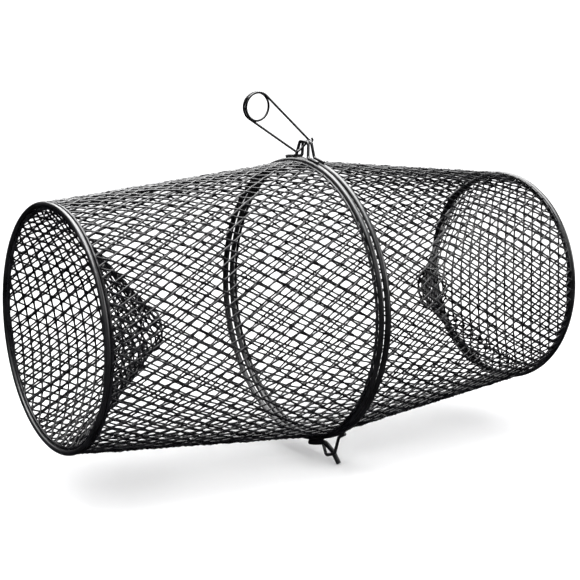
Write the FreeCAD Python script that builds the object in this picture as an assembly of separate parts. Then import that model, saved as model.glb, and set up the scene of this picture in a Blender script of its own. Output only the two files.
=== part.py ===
"""Folding wire-mesh crab trap: two tapered baskets that meet at their wide ends.

Each basket has a mesh wall, a mesh funnel that leads in through the small end, a wide middle rim and
a smaller end rim. A bent-wire hinge joins the two middle rims near the bottom, and a sprung wire clip
passes through a lug on each middle rim at the top to hold them shut.

Frame, in millimetres: +X along the trap's axis, +Z up. The origin is on the ground under the trap's
centre. Ring angles turn about +X, from +Y (0 degrees) through the top (90 degrees).
"""

import FreeCAD
import Part
import math
import os

from FreeCAD import Vector

# Driving dimensions
AXIS_HEIGHT = 128.3          # the trap's axis above the ground, when it stands on the hinge hook's tail
CLEARANCE = 0.05             # between pieces that are welded or dipped together
SIDES = {"left": -1, "right": 1}

MIDDLE_RIM_RADIUS = 112.3    # centreline of the wide rims
MIDDLE_RIM_WIRE = 2.1        # radius of their wire
MIDDLE_RIM_X = 2.95          # each wide rim's distance from the seam plane
END_RIM_RADIUS = 90.4
END_RIM_WIRE = 2.0
END_RIM_X = 215.7

MESH_THICKNESS = 1.3         # the mesh sheet, across its crossing strands
SELVEDGE_WIRE = 1.2          # radius of the bead that ends each mesh sheet
WALL_TUCK_ANGLE = 29.0       # how far inside the middle rim's side the wall's bead sits
WALL_END_ANGLE = 11.0        # how far outside the end rim's side the wall's other bead sits
FUNNEL_TUCK_ANGLE = 70.0     # how far inside the end rim's side the funnel's bead sits
THROAT_RADIUS = 16.2         # clear hole through the funnel's small end
THROAT_LENGTH = 5.0          # length of the throat's folded hem
THROAT_X = 138.0             # middle of the hem, from the seam plane
THROAT_DROP = {-1: 9.0, 1: 4.5}  # how far the left (-1) and right (1) throat has settled below the axis

LUG_ANGLE = 93.3             # ring angle of the two clip lugs
LUG_WIRE = 1.25
LUG_BAR_RADIUS = 127.6       # the lug's crossbar, from the trap's axis
LUG_BAR_X = 1.4              # the crossbars lean in towards the seam
LUG_TOP_HALF_WIDTH = 5.9     # from the lug's middle to where a leg would meet the crossbar
LUG_SPREAD = 8.5             # from the lug's middle to where a leg would meet the rim
LUG_CORNER = 2.6
LUG_FOOT = 14.0              # length of each foot along the rim

HINGE_ANGLE = 250.0          # ring angle of the hinge
HINGE_BAR_RADIUS = 127.3     # the hinge's pin, from the trap's axis
EYE_WIRE = 1.3
EYE_TOP_HALF_WIDTH = 6.2
EYE_SPREAD = 12.0
EYE_CORNER = 4.0
EYE_FOOT = 10.0
HOOK_WIRE = 2.0
HOOK_FOOT = 22.0
HOOK_CORNER = 3.4
HINGE_CLEARANCE = 0.15       # between the hook and the bar that turns in it
TAIL_LEAN = 17.0             # the hook's tail leans this far from straight out, away from its rim

CLIP_WIRE = 0.9
CLIP_CATCH = (5.0, 127.5)    # where the two legs' ends cross: X, and out from the axis
BIGHT_LENGTH = 13.9
BIGHT_SLOPE = 38.3           # the bight's rise from the heel to the catch
HEEL_BEND = 2.2
BIGHT_TAIL = 1.5             # how far the bight stands past the catch
COIL_FROM_CATCH = (-50.5, 28.5)
COIL_RADIUS = 10.9
COIL_PITCH = 1.9
COIL_OWN_TURNS = 1.0         # the turns that belong to the coil; the latch arm carries the rest
LATCH_TURN = 200.0           # how far the latch arm's end runs round beside the coil
BIGHT_PLANE = 2.9            # the bight's place across the lugs
CATCH_PLANE = 0.9            # the latch arm's place where it passes the bight
CURL_RADIUS = 1.3
CURL_TURN = 200.0


def turned(vector, degrees):
    """A vector in the XZ plane, turned from +X towards +Z."""
    return FreeCAD.Rotation(Vector(0, -1, 0), degrees).multVec(vector)


def placed(shape, ring_angle=90.0):
    """The shape, turned about the trap's axis from the top to a ring angle, and lifted to its height."""
    shape.rotate(Vector(0, 0, 0), Vector(1, 0, 0), ring_angle - 90.0)
    shape.translate(Vector(0, 0, AXIS_HEIGHT))
    return shape


def revolved(face):
    return face.revolve(Vector(0, 0, 0), Vector(1, 0, 0), 360)


def bead(x, r, radius):
    """A wire ring round the trap's axis."""
    return Part.makeTorus(r, radius, Vector(x, 0, 0), Vector(1, 0, 0))


def sheet(start, end):
    """A mesh sheet turned round the trap's axis, between two (x, r) points on its middle surface."""
    half = MESH_THICKNESS / 2
    corners = [Vector(x, 0, r) for x, r in (
        (start[0], start[1] - half), (end[0], end[1] - half),
        (end[0], end[1] + half), (start[0], start[1] + half),
        (start[0], start[1] - half))]
    return revolved(Part.Face(Part.makePolygon(corners)))


def beside(rim_x, rim_radius, rim_wire, angle, towards, side):
    """The (x, r) centre of a mesh sheet's bead that lies against a rim, on its inboard or outboard side."""
    reach = rim_wire + SELVEDGE_WIRE + CLEARANCE
    x = rim_x + towards * reach * math.cos(math.radians(angle))
    return side * x, rim_radius + reach * math.sin(math.radians(angle))


def rounded_path(points, radius):
    """Straight runs through the points, with a tangent arc at each corner."""
    edges, start = [], points[0]
    for before, corner, after in zip(points, points[1:], points[2:]):
        back, on = (before - corner).normalize(), (after - corner).normalize()
        half = back.getAngle(on) / 2
        arc_start = corner + back * (radius / math.tan(half))
        arc_end = corner + on * (radius / math.tan(half))
        middle = corner + (back + on).normalize() * (radius / math.sin(half) - radius)
        edges.append(Part.LineSegment(start, arc_start).toShape())
        edges.append(Part.Arc(arc_start, middle, arc_end).toShape())
        start = arc_end
    edges.append(Part.LineSegment(start, points[-1]).toShape())
    return edges


def swept(edges, radius, start, direction):
    """A round wire along the edges."""
    section = Part.Wire(Part.makeCircle(radius, start, direction))
    return Part.Wire(edges).makePipeShell([section], True, False)


def on_ring(x, r, degrees):
    """A point at the top of the rings, moved round the axis by an angle."""
    a = math.radians(degrees)
    return Vector(x, -r * math.sin(a), r * math.cos(a))


def foot(x, r, start_angle, end_angle):
    """A wire's run along a rim, its two end points, and the direction in which it starts."""
    ends = [on_ring(x, r, a) for a in (start_angle, end_angle)]
    arc = Part.Arc(ends[0], on_ring(x, r, (start_angle + end_angle) / 2), ends[1]).toShape()
    along = math.copysign(90.0, end_angle - start_angle)
    return arc, ends, on_ring(0, 1, start_angle + along)


def body_mesh(side):
    """The tapered mesh wall, with a bead along each edge."""
    wide = beside(MIDDLE_RIM_X, MIDDLE_RIM_RADIUS, MIDDLE_RIM_WIRE, -WALL_TUCK_ANGLE, 1, side)
    small = beside(END_RIM_X, END_RIM_RADIUS, END_RIM_WIRE, WALL_END_ANGLE, -1, side)
    edges = [bead(x, r, SELVEDGE_WIRE) for x, r in (wide, small)]
    return placed(sheet(wide, small).fuse(edges))


def leaning_cone(mouth, throat, throat_drop, radial_step):
    """A solid cone from the funnel's mouth to its lowered throat, each an (x, r) on its middle surface."""
    rings = [Part.Wire(Part.makeCircle(r + radial_step, Vector(x, 0, -drop), Vector(1, 0, 0)))
             for (x, r), drop in ((mouth, 0.0), (throat, throat_drop))]
    return Part.makeLoft(rings, True, True)


def throat_tube(side, start_x, end_x, radius):
    """A cylinder on the throat's own axis."""
    start = Vector(min(side * start_x, side * end_x), 0, -THROAT_DROP[side])
    return Part.makeCylinder(radius, end_x - start_x, start, Vector(1, 0, 0))


def funnel_mesh(side):
    """The mesh funnel that leads in from the end rim to the throat, whose hem is a short tube."""
    half = MESH_THICKNESS / 2
    mouth = beside(END_RIM_X, END_RIM_RADIUS, END_RIM_WIRE, -FUNNEL_TUCK_ANGLE, -1, side)
    hem_span = [THROAT_X - THROAT_LENGTH / 2, THROAT_X + THROAT_LENGTH / 2]
    throat = (side * (hem_span[1] - MESH_THICKNESS), THROAT_RADIUS + half)
    drop = THROAT_DROP[side]
    cone = leaning_cone(mouth, throat, drop, half).cut(leaning_cone(mouth, throat, drop, -half))
    hem = throat_tube(side, *hem_span, THROAT_RADIUS + MESH_THICKNESS)
    hole = throat_tube(side, 0, END_RIM_X, THROAT_RADIUS)
    return placed(hem.fuse([cone, bead(mouth[0], mouth[1], SELVEDGE_WIRE)]).cut(hole))


def middle_rim(side):
    return placed(bead(side * MIDDLE_RIM_X, MIDDLE_RIM_RADIUS, MIDDLE_RIM_WIRE))


def end_rim(side):
    return placed(bead(side * END_RIM_X, END_RIM_RADIUS, END_RIM_WIRE))


def staple(side, wire, spread, top_half_width, bar, corner, foot_length):
    """A wire loop that stands on a middle rim: a foot each side along the rim, two legs and a crossbar."""
    x, foot_r = side * MIDDLE_RIM_X, MIDDLE_RIM_RADIUS + MIDDLE_RIM_WIRE + wire + CLEARANCE
    outer = math.degrees((spread + foot_length) / foot_r)
    inner = math.degrees((spread + corner) / foot_r)
    first, first_ends, start_way = foot(x, foot_r, outer, inner)
    last, last_ends, _ = foot(x, foot_r, -inner, -outer)
    drop = math.degrees(spread / foot_r)
    root = foot_r / math.cos(math.radians(inner - drop))
    bends = [on_ring(x, root, drop), Vector(bar[0], -top_half_width, bar[1]),
             Vector(bar[0], top_half_width, bar[1]), on_ring(x, root, -drop)]
    loop = rounded_path([first_ends[1], *bends, last_ends[0]], corner)
    return swept([first, *loop, last], wire, first_ends[0], start_way)


def clip_lug(side):
    bar = (side * LUG_BAR_X, LUG_BAR_RADIUS)
    lug = staple(side, LUG_WIRE, LUG_SPREAD, LUG_TOP_HALF_WIDTH, bar, LUG_CORNER, LUG_FOOT)
    return placed(lug, LUG_ANGLE)


def hinge_eye(side):
    """The loop whose crossbar is the hinge's pin, in the seam plane."""
    bar = (0.0, HINGE_BAR_RADIUS)
    eye = staple(side, EYE_WIRE, EYE_SPREAD, EYE_TOP_HALF_WIDTH, bar, EYE_CORNER, EYE_FOOT)
    return placed(eye, HINGE_ANGLE)


def hinge_hook(side):
    """The hook that the eye's bar turns in: a foot on the rim, a bend round the bar, and a tail."""
    foot_r = MIDDLE_RIM_RADIUS + MIDDLE_RIM_WIRE + HOOK_WIRE + CLEARANCE
    angles = [math.degrees(length / foot_r) for length in (HOOK_FOOT, 2 * HOOK_CORNER)]
    run, ends, start_way = foot(side * MIDDLE_RIM_X, foot_r, *angles)
    root = Vector(side * MIDDLE_RIM_X, 0, foot_r / math.cos(math.radians(angles[1])))
    bar = Vector(0, 0, HINGE_BAR_RADIUS)
    bend = EYE_WIRE + HOOK_WIRE + HINGE_CLEARANCE
    to_bar = bar - root
    aim = math.degrees(math.atan2(to_bar.z, to_bar.x) - math.asin(bend / to_bar.Length))
    bend_start = bar + turned(Vector(bend, 0, 0), aim - 90)
    bend_middle = bar + turned(Vector(bend, 0, 0), (aim - 90 - TAIL_LEAN) / 2)
    bend_end = bar + turned(Vector(bend, 0, 0), -TAIL_LEAN)
    tail_way = turned(Vector(1, 0, 0), 90 - TAIL_LEAN)
    outwards = -math.sin(math.radians(HINGE_ANGLE))
    end_drop = HOOK_WIRE * math.sqrt(1 - (tail_way.z * outwards) ** 2)
    tip_r = (AXIS_HEIGHT - end_drop) / outwards
    tip = bend_end + tail_way * ((tip_r - bend_end.z) / tail_way.z)
    edges = [run, *rounded_path([ends[1], root, bend_start], HOOK_CORNER),
             Part.Arc(bend_start, bend_middle, bend_end).toShape(),
             Part.LineSegment(bend_end, tip).toShape()]
    return placed(swept(edges, HOOK_WIRE, ends[0], start_way), HINGE_ANGLE)


def clip_points():
    """The clip's catch, heel and coil centre in its own plane, and the spokes where its legs leave."""
    catch = Vector(CLIP_CATCH[0], 0, CLIP_CATCH[1])
    heel = catch - turned(Vector(BIGHT_LENGTH, 0, 0), BIGHT_SLOPE)
    coil = catch + Vector(COIL_FROM_CATCH[0], 0, COIL_FROM_CATCH[1])

    def spoke_angle(point, sign):
        away = point - coil
        return math.degrees(math.atan2(away.z, away.x) + sign * math.acos(COIL_RADIUS / away.Length))

    return catch, heel, coil, spoke_angle(catch, 1), spoke_angle(heel, -1)


def clip_coil_arm():
    """The clip's coil, which is its rope eye, with the lower leg and the bight through both lugs."""
    catch, heel, coil, _, lower = clip_points()
    plane = Vector(0, BIGHT_PLANE, 0)
    spoke = turned(Vector(1, 0, 0), lower)
    back = turned(spoke, -90)
    helix = Part.Wire(Part.makeHelix(COIL_PITCH, COIL_PITCH * COIL_OWN_TURNS, COIL_RADIUS))
    centre = coil + plane
    helix.transformShape(FreeCAD.Matrix(spoke.x, back.x, 0, centre.x,
                                        spoke.y, back.y, -1, centre.y,
                                        spoke.z, back.z, 0, centre.z,
                                        0, 0, 0, 1))
    start = centre + spoke * COIL_RADIUS
    rise = COIL_PITCH / (2 * math.pi * COIL_RADIUS)
    section = Part.Wire(Part.makeCircle(CLIP_WIRE, start, back + Vector(0, -rise, 0)))
    turns = helix.makePipeShell([section], True, True)
    end = catch + plane + (catch - heel).normalize() * BIGHT_TAIL
    legs = rounded_path([start, heel + plane, end], HEEL_BEND)
    leg = swept(legs, CLIP_WIRE, start, heel + plane - start)
    return placed(turns.fuse(leg), LUG_ANGLE)


def clip_latch_arm():
    """The clip's upper leg, with a curl at its lower end and a part turn beside the coil."""
    catch, _, coil, upper, _ = clip_points()
    coil_plane = Vector(0, BIGHT_PLANE - COIL_PITCH * (COIL_OWN_TURNS + 1), 0)
    spoke = turned(Vector(1, 0, 0), upper)
    leg_top = coil + coil_plane + spoke * COIL_RADIUS
    leg_end = catch + Vector(0, CATCH_PLANE, 0)
    turn = [coil + coil_plane + turned(spoke * COIL_RADIUS, LATCH_TURN * share) for share in (1, 0.5)]
    centre = leg_end + spoke * CURL_RADIUS
    curl = [centre + turned(spoke * -CURL_RADIUS, CURL_TURN * share) for share in (0.5, 1)]
    edges = [Part.Arc(*turn, leg_top).toShape(), Part.LineSegment(leg_top, leg_end).toShape(),
             Part.Arc(leg_end, *curl).toShape()]
    start_way = turned(spoke, LATCH_TURN - 90)
    return placed(swept(edges, CLIP_WIRE, turn[0], start_way), LUG_ANGLE)


def pieces():
    """Every sub-part by name."""
    made = {}
    for name, side in SIDES.items():
        made[f"{name}_body_mesh"] = body_mesh(side)
        made[f"{name}_funnel_mesh"] = funnel_mesh(side)
        made[f"{name}_middle_rim"] = middle_rim(side)
        made[f"{name}_end_rim"] = end_rim(side)
        made[f"{name}_clip_lug"] = clip_lug(side)
    made["left_hinge_hook"] = hinge_hook(SIDES["left"])
    made["right_hinge_eye"] = hinge_eye(SIDES["right"])
    made["clip_coil_arm"] = clip_coil_arm()
    made["clip_latch_arm"] = clip_latch_arm()
    return made


os.makedirs("parts", exist_ok=True)
for node, shape in pieces().items():
    shape.exportStep(os.path.join("parts", node + ".step"))
    box = shape.BoundBox
    print(f"{node}: {len(shape.Solids)} solid, valid {shape.isValid()}, {shape.Volume / 1000:.2f} cm3, "
          f"X {box.XMin:.2f} to {box.XMax:.2f}, Y {box.YMin:.2f} to {box.YMax:.2f}, "
          f"Z {box.ZMin:.2f} to {box.ZMax:.2f}")
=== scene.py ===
"""Looks for the folding crab trap: dipped wire mesh, coated rims and wires, on a pale floor."""

import math

import bmesh
import bpy
import numpy as np
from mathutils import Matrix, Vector


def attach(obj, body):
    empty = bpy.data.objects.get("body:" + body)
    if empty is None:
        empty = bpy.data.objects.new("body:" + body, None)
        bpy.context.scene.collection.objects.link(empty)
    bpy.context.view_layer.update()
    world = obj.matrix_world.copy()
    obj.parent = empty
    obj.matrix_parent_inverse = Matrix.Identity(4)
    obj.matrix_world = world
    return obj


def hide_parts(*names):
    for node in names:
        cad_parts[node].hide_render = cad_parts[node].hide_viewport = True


AXIS_HEIGHT = 0.1283
SIDES = {"left": -1, "right": 1}

WALL = ((0.0059, 0.1107), (0.2125, 0.0910))      # (distance from the seam, radius) of the wall's edges
WALL_STRANDS = 68
WALL_ROWS = 26                                   # half diamonds along the wall
FUNNEL = ((0.2146, 0.0873), (0.1392, 0.01685))
MESH_EDGE = 0.00903                              # one side of a diamond in the flat sheet
MESH_HALF_ANGLE = math.radians(27.6)             # a strand's angle from the diamond's long diagonal
SHEET_TURN = {-1: math.radians(108), 1: math.radians(4)}   # the long diagonal, from the far slope line
FUNNEL_SEAM = math.radians(248)                  # ring angle of the funnel sheet's lapped seam
SEAM_LAP = math.radians(4)
HEM = ((0.1355, 0.1405), 0.01685, 0.0006)         # span from the seam, radius, wire radius
HEM_STRANDS = 14
FUNNEL_STRAND = 0.00072
THROAT_DROP = {-1: 0.009, 1: 0.0045}             # how far the left and the right throat have settled
SELVEDGE = 0.00122
STRAND = 0.0007
KNOT = 0.00104
WEAVE = 0.00028
RIMS = {"middle": (0.00295, 0.1123, 0.0021), "end": (0.2157, 0.0904, 0.0020)}   # seam distance, radius, wire
LUG_SPAN = (math.radians(82), math.radians(104.5))     # ring angles of the rim under the lug's feet
EYE_SPAN = (math.radians(239), math.radians(261))
HOOK_SPAN = (math.radians(250), math.radians(262))
DIP = 0.0001                                           # extra coating where a wire is joined to a rim
VOXEL = 0.00034
SUNK = 0.0003                                          # how far a dipped stretch's ends lie inside the rim
DIP_TAPER = math.radians(2.0)
DIP_POINTS = 60
SKIN_RELAX = (0.5, 4)                                  # factor and repeats of the skin's smoothing
WIRE_SIDES = 16
RIM_POINTS = 480
RIM_WARP = 0.00008                                     # how far a rim is out of round
RIM_RUNS = 0.00005                                     # how uneven its coating is
BEAD_SWELL = 0.10                                      # share a bead thickens by where a strand joins it
WANDER = 0.00022                                       # how far a woven strand strays from its surface
SHEET_WANDER = 0.0002                                  # the same, for a strand of the funnel's sheet
LAP_LIFT = 0.0004                                      # how far the lapped sheet stands off the other
WALL_STEPS = 3                                         # points per half diamond
HEM_ROWS, HEM_STEPS = 2, 4
SHEET_STEPS = 6                                        # points per diamond side of the funnel's sheet
SHEET_CELLS = 18                                       # diamond sides from a sheet strand's middle to its end
SHORTEST_RUN = 3                                       # points that a strand needs to be kept
WALL_SEED = 7
FUNNEL_SEED = 17

LENS = 83.98
SENSOR_WIDTH = 36.0
CAMERA_AT = (-0.6008, -0.8938, 0.2006 + AXIS_HEIGHT)
CAMERA_WAY = (0.5428, 0.8211, -0.1767)
FLOOR_REACH = 8.0
SKY_STOPS = ((0.10, (1.0, 1.0, 1.0)), (0.60, (0.75, 0.75, 0.76)))
SKY_STRENGTH = 1.5
SUN_ENERGY = 1.2
SUN_ANGLE = math.radians(120)
SUN_WAY = (0.1, 0.05, -1)


def principled(name):
    """A new material with its nodes, its Principled shader and its texture coordinates."""
    made = bpy.data.materials.new(name)
    made.use_nodes = True
    nodes, links = made.node_tree.nodes, made.node_tree.links
    shader = next(n for n in nodes if n.type == "BSDF_PRINCIPLED")
    place = nodes.new("ShaderNodeTexCoord")
    return made, nodes, links, shader, place


def noise(nodes, links, place, scale, detail):
    """A noise texture in object space."""
    texture = nodes.new("ShaderNodeTexNoise")
    texture.inputs["Scale"].default_value = scale
    texture.inputs["Detail"].default_value = detail
    links.new(place.outputs["Object"], texture.inputs["Vector"])
    return texture


def ramp(nodes, links, source, stops):
    """A colour ramp over a noise texture."""
    made = nodes.new("ShaderNodeValToRGB")
    elements = made.color_ramp.elements
    for element, (at, value) in zip(elements, stops):
        element.position = at
        element.color = (*value, 1)
    links.new(source, made.inputs["Fac"])
    return made


def coating(name, dark, light, roughness, bump, scale, sheen_level):
    """Dipped black coating: uneven sheen, a little dust and a slightly lumpy surface."""
    made, nodes, links, shader, place = principled(name)
    patches = noise(nodes, links, place, scale, 4)
    colour = ramp(nodes, links, patches.outputs["Fac"], ((0.35, dark), (0.75, light)))
    links.new(colour.outputs["Color"], shader.inputs["Base Color"])
    sheen = nodes.new("ShaderNodeMapRange")
    sheen.inputs["From Min"].default_value = 0.3
    sheen.inputs["From Max"].default_value = 0.7
    sheen.inputs["To Min"].default_value = roughness - 0.07
    sheen.inputs["To Max"].default_value = roughness + 0.1
    links.new(patches.outputs["Fac"], sheen.inputs["Value"])
    links.new(sheen.outputs["Result"], shader.inputs["Roughness"])
    lumps = noise(nodes, links, place, scale * 6, 3)
    relief = nodes.new("ShaderNodeBump")
    relief.inputs["Strength"].default_value = bump
    relief.inputs["Distance"].default_value = 0.0004
    links.new(lumps.outputs["Fac"], relief.inputs["Height"])
    links.new(relief.outputs["Normal"], shader.inputs["Normal"])
    shader.inputs["Specular IOR Level"].default_value = sheen_level
    return made


def floor_material():
    """A matt, almost white floor."""
    made, nodes, links, shader, place = principled("floor")
    grain = noise(nodes, links, place, 3.0, 2)
    stops = ((0.3, (0.93, 0.93, 0.93)), (0.7, (0.95, 0.95, 0.95)))
    colour = ramp(nodes, links, grain.outputs["Fac"], stops)
    links.new(colour.outputs["Color"], shader.inputs["Base Color"])
    shader.inputs["Roughness"].default_value = 0.9
    shader.inputs["Specular IOR Level"].default_value = 0.1
    return made


def round_axis(u, r, angle, side):
    """Points at a distance from the seam, a radius and an angle round the trap's axis."""
    return np.stack([side * u, r * np.cos(angle), AXIS_HEIGHT + r * np.sin(angle)], axis=-1)


def tube(points, normals, radii, closed, sides=6):
    """Vertices and quads of a tube along the points, whose section starts at the given normals."""
    if closed:
        along = np.roll(points, -1, 0) - np.roll(points, 1, 0)
    else:
        along = np.gradient(points, axis=0)
    along /= np.linalg.norm(along, axis=1)[:, None]
    out = normals - along * np.sum(normals * along, axis=1)[:, None]
    out /= np.linalg.norm(out, axis=1)[:, None]
    across = np.cross(along, out)
    turn = 2 * np.pi * np.arange(sides) / sides
    ring = (out[:, None] * np.cos(turn)[None, :, None] + across[:, None] * np.sin(turn)[None, :, None])
    verts = points[:, None] + ring * radii[:, None, None]
    count = len(points)
    rows = np.arange(count if closed else count - 1)
    here = rows[:, None] * sides + np.arange(sides)[None]
    step = rows[:, None] * sides + (np.arange(sides)[None] + 1) % sides
    on = ((rows + 1) % count)[:, None] * sides + np.arange(sides)[None]
    on_step = ((rows + 1) % count)[:, None] * sides + (np.arange(sides)[None] + 1) % sides
    faces = np.stack([here, step, on_step, on], axis=-1).reshape(-1, 4)
    return verts.reshape(-1, 3), faces


def joined(parts):
    """One set of vertices and quads from several."""
    verts, faces, offset = [], [], 0
    for part_verts, part_faces in parts:
        verts.append(part_verts)
        faces.append(part_faces + offset)
        offset += len(part_verts)
    return np.concatenate(verts), np.concatenate(faces)


def shown(name, parts, material, body, node):
    """A piece on a body, that stands for the CAD node."""
    verts, faces = joined(parts)
    mesh = bpy.data.meshes.new(name)
    mesh.vertices.add(len(verts))
    mesh.vertices.foreach_set("co", verts.astype(np.float32).ravel())
    mesh.loops.add(faces.size)
    mesh.loops.foreach_set("vertex_index", faces.astype(np.int32).ravel())
    mesh.polygons.add(len(faces))
    mesh.polygons.foreach_set("loop_start", np.arange(0, faces.size, 4, dtype=np.int32))
    mesh.polygons.foreach_set("use_smooth", np.ones(len(faces), dtype=bool))
    mesh.update(calc_edges=True)
    mesh.validate()
    mesh.materials.append(material)
    piece = bpy.data.objects.new(name, mesh)
    bpy.context.scene.collection.objects.link(piece)
    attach(piece, body)
    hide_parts(node)


def settled(points, r, drop):
    """The funnel's points, lowered towards the throat."""
    share = np.clip((FUNNEL[0][1] - r) / (FUNNEL[0][1] - FUNNEL[1][1]), 0, 1)
    return points - np.stack([0 * share, 0 * share, drop * share], axis=-1)


def bead(u, r, side, radius, bumps):
    """The thick edge of a mesh sheet, a little thicker where strands join it."""
    angle = np.linspace(0, 2 * np.pi, bumps * 4, endpoint=False)
    points = round_axis(np.full_like(angle, u), r, angle, side)
    normals = round_axis(np.zeros_like(angle), 1.0, angle, side) - [0, 0, AXIS_HEIGHT]
    return tube(points, normals, radius * (1 + BEAD_SWELL * np.cos(bumps * angle)), True)


def lattice(u_of, r_of, angle_of, strands, rows, side, steps, rng):
    """Two families of strands on a surface round the axis, woven, and knotted where they cross."""
    parts = []
    share = np.linspace(0, 1, rows * steps + 1)
    beat = np.cos(np.pi * rows * share)
    knot = np.cos(2 * np.pi * rows * share) * 0.5 + 0.5
    for family in (-1, 1):
        for strand in range(strands):
            angle = 2 * np.pi * strand / strands + family * angle_of(share)
            wander = np.interp(share, np.linspace(0, 1, rows // 2 + 1),
                               rng.normal(0, 1, rows // 2 + 1)) * WANDER
            radius = r_of(share) + family * WEAVE * beat + wander
            points = round_axis(u_of(share), radius, angle, side)
            normals = round_axis(np.zeros_like(share), 1.0, angle, side) - [0, 0, AXIS_HEIGHT]
            thick = STRAND + (KNOT - STRAND) * knot ** 2
            parts.append(tube(points, normals, thick, False))
    return parts


def wall(name, side, material):
    """The tapered wall of diamond mesh with its edges."""
    (u0, r0), (u1, r1) = WALL
    turn = np.pi * WALL_ROWS / WALL_STRANDS
    rng = np.random.default_rng(WALL_SEED + side)
    parts = lattice(lambda s: u0 + (u1 - u0) * s, lambda s: r0 + (r1 - r0) * s, lambda s: turn * s,
                    WALL_STRANDS, WALL_ROWS, side, WALL_STEPS, rng)
    parts += [bead(u, r, side, SELVEDGE, WALL_STRANDS) for u, r in WALL]
    shown(f"{name}_wall", parts, material, f"{name}_half", f"{name}_body_mesh")


def funnel_strands(side, rng):
    """The funnel's flat sheet of diamond mesh, rolled into a cone and lapped at its seam."""
    (u0, r0), (u1, r1) = FUNNEL
    half_angle = math.atan((r0 - r1) / (u0 - u1))
    fold = math.sin(half_angle)
    apex = u1 - r1 / math.tan(half_angle)
    reach, throat = r0 / fold, r1 / fold
    spread = math.pi * fold + SEAM_LAP
    middle = FUNNEL_SEAM - math.pi
    spacing = MESH_EDGE * math.sin(2 * MESH_HALF_ANGLE)
    lines = int(reach / spacing) + 1
    half_points = SHEET_STEPS * SHEET_CELLS
    along = np.arange(-half_points, half_points + 1) / SHEET_STEPS
    parts = []
    for family in (-1, 1):
        angle = SHEET_TURN[side] - middle * fold + family * MESH_HALF_ANGLE
        way = np.array([math.cos(angle), math.sin(angle)])
        other = SHEET_TURN[side] - middle * fold - family * MESH_HALF_ANGLE
        step = np.array([math.cos(other), math.sin(other)]) * MESH_EDGE
        for line in range(-2 * lines, 2 * lines + 1):
            flat = line * step + way * (along[:, None] * MESH_EDGE)
            rho = np.hypot(flat[:, 0], flat[:, 1])
            psi = np.arctan2(flat[:, 1], flat[:, 0])
            inside = (rho > throat) & (rho < reach) & (np.abs(psi) < spread)
            bounds = np.flatnonzero(np.diff(np.concatenate(([0], inside.astype(int), [0]))))
            for start, end in zip(bounds[::2], bounds[1::2]):
                if end - start < SHORTEST_RUN:
                    continue
                run = slice(start, end)
                phi = middle + psi[run] / fold
                radius = rho[run] * fold
                lift = family * WEAVE * np.cos(np.pi * along[run])
                lift = lift + LAP_LIFT * (np.abs(psi[run]) > math.pi * fold)
                wander = rng.normal(0, SHEET_WANDER)
                points = round_axis(apex + radius / math.tan(half_angle) - lift * fold,
                                    radius + lift * math.cos(half_angle) + wander, phi, side)
                points = settled(points, radius, THROAT_DROP[side])
                normals = round_axis(np.full_like(phi, -fold), math.cos(half_angle), phi, side)
                normals = normals - [0, 0, AXIS_HEIGHT]
                knot = np.cos(2 * np.pi * along[run]) * 0.5 + 0.5
                thick = FUNNEL_STRAND + (KNOT - FUNNEL_STRAND) * knot ** 2
                parts.append(tube(points, normals, thick, False))
    return parts


def funnel(name, side, material):
    """The funnel's mesh with its edge bead and its hemmed throat."""
    (u0, r0), _ = FUNNEL
    rng = np.random.default_rng(FUNNEL_SEED + side)
    parts = funnel_strands(side, rng)
    parts.append(bead(u0, r0, side, SELVEDGE, WALL_STRANDS))
    (start, end), middle, wire = HEM
    hem = [bead(start, middle, side, wire, HEM_STRANDS)]
    hem += lattice(lambda t: start + (end - start) * t, lambda t: middle + 0 * t,
                   lambda t: t * 2 * math.pi / HEM_STRANDS, HEM_STRANDS, HEM_ROWS, side, HEM_STEPS, rng)
    parts += [(verts - [0, 0, THROAT_DROP[side]], faces) for verts, faces in hem]
    shown(f"{name}_funnel", parts, material, f"{name}_half", f"{name}_funnel_mesh")


def rim(name, kind, side, material):
    """A coated wire rim, a little uneven where the coating ran."""
    u, r, wire = RIMS[kind]
    angle = np.linspace(0, 2 * np.pi, RIM_POINTS, endpoint=False)
    uneven = sum(np.sin(k * angle + 1.7 * k + side) / k for k in (5, 9, 14, 23, 37))
    points = round_axis(np.full_like(angle, u), r + RIM_WARP * np.sin(3 * angle + side), angle, side)
    normals = round_axis(np.zeros_like(angle), 1.0, angle, side) - [0, 0, AXIS_HEIGHT]
    parts = [tube(points, normals, wire + RIM_RUNS * uneven, True, WIRE_SIDES)]
    shown(f"{name}_{kind}_rim_wire", parts, material, f"{name}_half", f"{name}_{kind}_rim")


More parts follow.
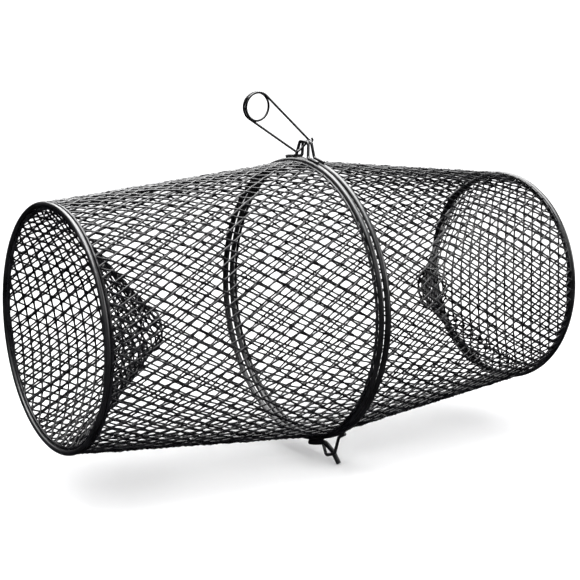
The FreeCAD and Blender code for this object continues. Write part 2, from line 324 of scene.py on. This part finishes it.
def dipped(node, side, span, material):
    """A bent wire and the stretch of rim it is joined to, in one skin of coating."""
    u, r, wire = RIMS["middle"]
    angle = np.linspace(*span, DIP_POINTS)
    points = round_axis(np.full_like(angle, u), r, angle, side)
    normals = round_axis(np.zeros_like(angle), 1.0, angle, side) - [0, 0, AXIS_HEIGHT]
    taper = np.minimum(1, np.minimum(angle - span[0], span[1] - angle) / DIP_TAPER)
    verts, faces = tube(points, normals, wire - SUNK + (DIP + SUNK) * taper, False, WIRE_SIDES)
    last = len(verts)
    rim_mesh = bpy.data.meshes.new(node + "_rim")
    caps = [tuple(range(WIRE_SIDES - 1, -1, -1)), tuple(range(last - WIRE_SIDES, last))]
    rim_mesh.from_pydata(verts.tolist(), [], [tuple(f) for f in faces.tolist()] + caps)
    both = bmesh.new()
    both.from_mesh(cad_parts[node].data)
    both.from_mesh(rim_mesh)
    mesh = bpy.data.meshes.new(node + "_dipped")
    both.to_mesh(mesh)
    both.free()
    bpy.data.meshes.remove(rim_mesh)
    piece = bpy.data.objects.new(node + "_dipped", mesh)
    bpy.context.scene.collection.objects.link(piece)
    skin = piece.modifiers.new("skin", "REMESH")
    skin.mode = "VOXEL"
    skin.voxel_size = VOXEL
    skin.use_smooth_shade = True
    relax = piece.modifiers.new("relax", "SMOOTH")
    relax.factor, relax.iterations = SKIN_RELAX
    graph = bpy.context.evaluated_depsgraph_get()
    piece.data = bpy.data.meshes.new_from_object(piece.evaluated_get(graph))
    piece.modifiers.clear()
    piece.data.materials.clear()
    piece.data.materials.append(material)
    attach(piece, "left_half" if side < 0 else "right_half")
    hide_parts(node)


def camera():
    """The photograph's view."""
    data = bpy.data.cameras.new("camera")
    data.lens = LENS
    data.sensor_width = SENSOR_WIDTH
    made = bpy.data.objects.new("camera", data)
    made.location = CAMERA_AT
    made.rotation_euler = Vector(CAMERA_WAY).to_track_quat("-Z", "Y").to_euler()
    bpy.context.scene.collection.objects.link(made)
    bpy.context.scene.camera = made


def area_light(name, at, size, power, sheen_only=False):
    """A lamp aimed at the trap, that may be seen in reflections only."""
    data = bpy.data.lights.new(name, "AREA")
    data.energy = power
    data.size = size
    made = bpy.data.objects.new(name, data)
    made.location = at
    made.rotation_euler = (Vector((0, 0, AXIS_HEIGHT)) - Vector(at)).to_track_quat("-Z", "Y").to_euler()
    made.visible_diffuse = not sheen_only
    bpy.context.scene.collection.objects.link(made)


def stage():
    """A pale floor, a pale sky and soft lamps."""
    mesh = bpy.data.meshes.new("floor")
    reach = FLOOR_REACH
    mesh.from_pydata([(-reach, -reach, 0), (reach, -reach, 0), (reach, reach, 0), (-reach, reach, 0)],
                     [], [(0, 1, 2, 3)])
    mesh.materials.append(floor_material())
    ground = bpy.data.objects.new("floor", mesh)
    bpy.context.scene.collection.objects.link(ground)
    world = bpy.data.worlds.new("sky")
    world.use_nodes = True
    nodes, links = world.node_tree.nodes, world.node_tree.links
    background = next(n for n in nodes if n.type == "BACKGROUND")
    place = nodes.new("ShaderNodeTexCoord")
    height = nodes.new("ShaderNodeSeparateXYZ")
    links.new(place.outputs["Generated"], height.inputs["Vector"])
    sky = ramp(nodes, links, height.outputs["Z"], SKY_STOPS)
    links.new(sky.outputs["Color"], background.inputs["Color"])
    background.inputs["Strength"].default_value = SKY_STRENGTH
    bpy.context.scene.world = world
    world.cycles_visibility.glossy = False
    ground.visible_glossy = False
    area_light("key", (-0.3, -0.3, 1.35), 0.7, 9)
    area_light("fill", (-0.9, -0.9, 0.9), 0.5, 3)
    area_light("overhead_sheen", (0.15, 0.45, 1.1), 1.3, 50, sheen_only=True)
    area_light("left_sheen", (-0.2, -0.1, 1.1), 0.8, 18, sheen_only=True)
    area_light("right_sheen", (1.1, -0.7, 0.6), 0.8, 11, sheen_only=True)
    data = bpy.data.lights.new("sun", "SUN")
    data.energy = SUN_ENERGY
    data.angle = SUN_ANGLE
    sun = bpy.data.objects.new("sun", data)
    sun.rotation_euler = Vector(SUN_WAY).to_track_quat("-Z", "Y").to_euler()
    sun.visible_glossy = False
    bpy.context.scene.collection.objects.link(sun)
    bpy.context.scene.view_settings.view_transform = "Standard"


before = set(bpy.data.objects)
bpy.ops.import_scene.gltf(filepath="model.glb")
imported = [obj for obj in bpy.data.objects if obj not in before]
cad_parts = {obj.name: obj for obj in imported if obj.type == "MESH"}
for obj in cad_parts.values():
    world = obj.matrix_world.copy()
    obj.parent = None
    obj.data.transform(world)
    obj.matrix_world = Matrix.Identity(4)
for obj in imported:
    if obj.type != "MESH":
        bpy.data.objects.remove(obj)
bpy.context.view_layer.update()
mesh_coat = coating("coated_mesh", (0.002, 0.002, 0.0025), (0.009, 0.009, 0.011), 0.26, 0.35, 60, 0.32)
wire_coat = coating("coated_wire", (0.0015, 0.0015, 0.0018), (0.007, 0.007, 0.009), 0.36, 0.2, 40, 0.7)
spring_coat = coating("spring_wire", (0.0015, 0.0015, 0.0018), (0.006, 0.006, 0.007), 0.26, 0.15, 80, 0.5)
for side_name, side_sign in SIDES.items():
    wall(side_name, side_sign, mesh_coat)
    funnel(side_name, side_sign, mesh_coat)
    for rim_kind in RIMS:
        rim(side_name, rim_kind, side_sign, wire_coat)
    dipped(f"{side_name}_clip_lug", side_sign, LUG_SPAN, wire_coat)
dipped("left_hinge_hook", SIDES["left"], HOOK_SPAN, wire_coat)
dipped("right_hinge_eye", SIDES["right"], EYE_SPAN, wire_coat)
for clip_node in ("clip_coil_arm", "clip_latch_arm"):
    for material_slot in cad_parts[clip_node].material_slots:
        material_slot.link = "OBJECT"
        material_slot.material = spring_coat
stage()
camera()
